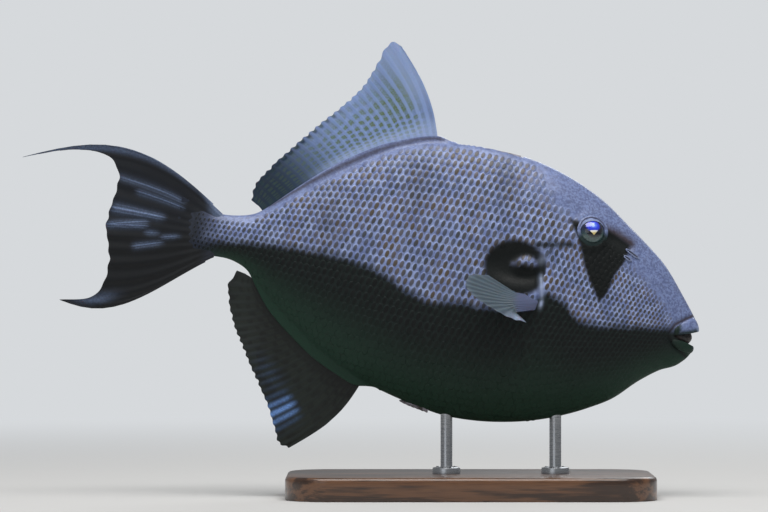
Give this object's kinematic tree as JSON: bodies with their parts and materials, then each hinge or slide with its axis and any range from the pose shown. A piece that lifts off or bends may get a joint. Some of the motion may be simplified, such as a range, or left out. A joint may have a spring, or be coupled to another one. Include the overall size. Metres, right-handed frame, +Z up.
{
  "type": "grey triggerfish display model",
  "caption": "Life-size still model of a grey triggerfish swimming head slightly down, with fins spread, held over a flat base by short rods.",
  "frame": {"origin": "centre of the display base's underside, on the surface that the model stands on", "axes": "+X the way the fish swims, +Y towards its left flank, +Z up"},
  "size_m": [0.4608, 0.13, 0.3102],
  "materials": {
    "skin": "moist scaly skin, olive-brown scales with pale lilac-grey rims",
    "eye": "clear wet eye with a blue pupil",
    "spine": "rough horny skin",
    "fin_pale": "moist pale fin skin with rays",
    "fin_dark": "moist dark fin skin with rays",
    "base": "dark satin varnish",
    "rod": "brushed"
  },
  "bodies": {
    "root": {"head": "skin", "trunk": "skin", "tail_root": "skin", "eye_right": "eye", "eye_left": "eye", "first_dorsal_spines": "spine", "pelvic_spine": "spine", "dorsal_fin": "fin_pale", "anal_fin": "fin_dark", "caudal_fin_upper": "fin_dark", "caudal_fin_middle": "fin_dark", "caudal_fin_lower": "fin_dark", "caudal_tip_upper": "fin_dark", "caudal_tip_lower": "fin_dark", "pectoral_fin_right": "fin_pale", "pectoral_fin_left": "fin_pale", "stand_base": "base", "stand_rod_front": "rod", "stand_rod_rear": "rod"}
  },
  "joints": []
}
